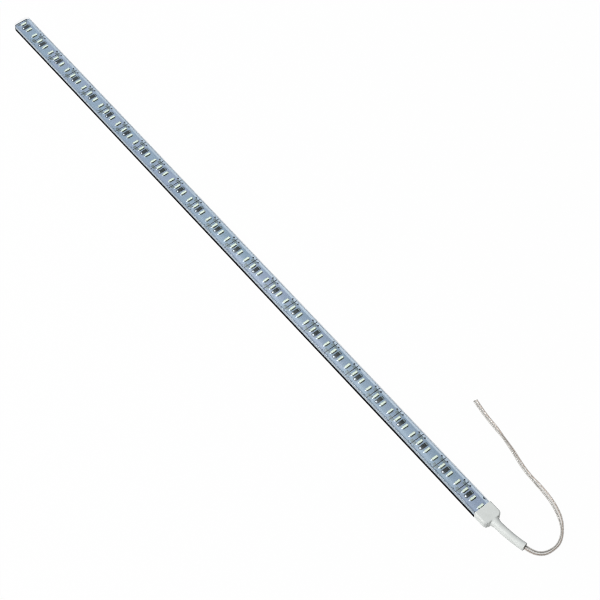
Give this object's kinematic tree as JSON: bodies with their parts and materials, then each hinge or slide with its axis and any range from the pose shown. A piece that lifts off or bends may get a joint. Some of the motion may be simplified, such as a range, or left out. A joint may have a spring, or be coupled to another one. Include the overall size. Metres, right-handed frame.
{
  "type": "led light strip",
  "caption": "Rigid adhesive-backed LED light bar with a clear coat, score lines between its lamp groups, a moulded silicone cable end and a short bare-ended twin lead.",
  "frame": {"origin": "middle of the adhesive back face, half way along the board", "axes": "+X along the strip towards the lead, +Y across it, +Z out of the lit face"},
  "size_m": [0.5459, 0.0555, 0.0064],
  "materials": {
    "board": "white solder mask over an aluminium core",
    "foam": "matt closed-cell foam tape",
    "clear_silicone": "clear, satin",
    "white_silicone": "white, matt, slightly translucent",
    "clear_insulation": "clear insulation over fine strands",
    "solder": "bright tin",
    "led": "white housing with a pale yellow phosphor window",
    "resistor": "black glaze with tinned ends"
  },
  "bodies": {
    "root": {"circuit_board": "board", "foam_tape": "foam", "clear_coat": "clear_silicone", "end_cap": "white_silicone", "lead_wire": "clear_insulation", "lead_cores": "clear_insulation", "solder_joints": "solder", "led_group_01": "led", "resistor_01": "resistor", "led_group_02": "led", "resistor_02": "resistor", "led_group_03": "led", "resistor_03": "resistor", "led_group_04": "led", "resistor_04": "resistor", "led_group_05": "led", "resistor_05": "resistor", "led_group_06": "led", "resistor_06": "resistor", "led_group_07": "led", "resistor_07": "resistor", "led_group_08": "led", "resistor_08": "resistor", "led_group_09": "led", "resistor_09": "resistor", "led_group_10": "led", "resistor_10": "resistor", "led_group_11": "led", "resistor_11": "resistor", "led_group_12": "led", "resistor_12": "resistor", "led_group_13": "led", "resistor_13": "resistor", "led_group_14": "led", "resistor_14": "resistor", "led_group_15": "led", "resistor_15": "resistor", "led_group_16": "led", "resistor_16": "resistor", "led_group_17": "led", "resistor_17": "resistor", "led_group_18": "led", "resistor_18": "resistor", "led_group_19": "led", "resistor_19": "resistor", "led_group_20": "led", "resistor_20": "resistor", "led_group_21": "led", "resistor_21": "resistor", "led_group_22": "led", "resistor_22": "resistor", "led_group_23": "led", "resistor_23": "resistor", "led_group_24": "led", "resistor_24": "resistor"}
  },
  "joints": []
}
